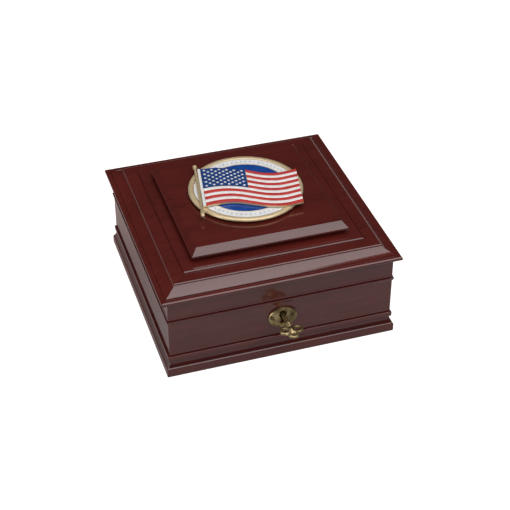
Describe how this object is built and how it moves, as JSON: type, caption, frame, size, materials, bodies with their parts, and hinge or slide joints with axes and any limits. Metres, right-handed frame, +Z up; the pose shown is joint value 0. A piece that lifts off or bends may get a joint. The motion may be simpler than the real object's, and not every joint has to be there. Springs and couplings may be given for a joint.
{
  "type": "square wooden keepsake box with hinged lid and lock",
  "caption": "Square wooden keepsake box: moulded plinth, hinged lid with a raised panel and an enamel flag medallion, brass escutcheon, key and sliding lock bolt.",
  "frame": {"origin": "centre of the felt's underside, which rests on the table", "axes": "+Z up, -Y towards the front with the lock and key, +X to the right seen from the front"},
  "size_m": [0.21, 0.2384, 0.109],
  "materials": {
    "mahogany": "glossy dark red-brown lacquer",
    "plywood": "raw",
    "felt": "felt",
    "velvet": "velvet",
    "antique_brass": "antique",
    "steel": "zinc plated",
    "gold_plate": "pale gold plate",
    "white_enamel": "glossy enamel",
    "blue_enamel": "glossy enamel"
  },
  "bodies": {
    "box": {"bottom_panel": "plywood", "bottom_felt": "felt", "plinth_front": "mahogany", "plinth_right": "mahogany", "plinth_back": "mahogany", "plinth_left": "mahogany", "wall_front": "mahogany", "wall_right": "mahogany", "wall_back": "mahogany", "wall_left": "mahogany", "floor_lining": "velvet", "wall_lining_front": "velvet", "wall_lining_right": "velvet", "wall_lining_back": "velvet", "wall_lining_left": "velvet", "escutcheon": "antique_brass", "escutcheon_pin_left": "antique_brass", "escutcheon_pin_right": "antique_brass", "lock_case": "antique_brass", "lock_cover": "antique_brass", "lock_screw_left": "steel", "lock_screw_right": "steel", "hinge_body_leaf_left": "antique_brass", "hinge_body_leaf_right": "antique_brass", "hinge_pin_left": "steel", "hinge_pin_right": "steel", "body_leaf_screw_1": "steel", "body_leaf_screw_2": "steel", "body_leaf_screw_3": "steel", "body_leaf_screw_4": "steel"},
    "lid": {"skirt_front": "mahogany", "skirt_right": "mahogany", "skirt_back": "mahogany", "skirt_left": "mahogany", "lid_moulding_front": "mahogany", "lid_moulding_right": "mahogany", "lid_moulding_back": "mahogany", "lid_moulding_left": "mahogany", "lid_panel": "mahogany", "raised_panel": "mahogany", "lid_lining": "velvet", "hinge_lid_leaf_left": "antique_brass", "hinge_lid_leaf_right": "antique_brass", "lid_leaf_screw_1": "steel", "lid_leaf_screw_2": "steel", "lid_leaf_screw_3": "steel", "lid_leaf_screw_4": "steel", "catch_plate": "antique_brass", "catch_screw_left": "steel", "catch_screw_right": "steel", "medallion_disc": "gold_plate", "medallion_white_ring": "white_enamel", "medallion_blue_field": "blue_enamel", "medallion_flag": "gold_plate", "medallion_pole": "gold_plate"},
    "key": {"key": "antique_brass"},
    "bolt": {"lock_bolt": "steel"}
  },
  "joints": [
    {"name": "lid_hinge", "type": "hinge", "parent": "box", "child": "lid", "pos_m": [0, 0.1016, 0.0581], "axis": [-1, 0, 0], "range_deg": [0, 95]},
    {"name": "key_turn", "type": "hinge", "parent": "box", "child": "key", "pos_m": [0, -0.099, 0.0429], "axis": [0, 1, 0], "range_deg": [-90, 90]},
    {"name": "bolt_slide", "type": "slide", "parent": "box", "child": "bolt", "axis": [1, 0, 0], "range_m": [-0.0026, 0.0026]}
  ],
  "couplings": [
    {"joint": "bolt_slide", "follows": "key_turn", "m_per_rad": 0.0015915}
  ]
}
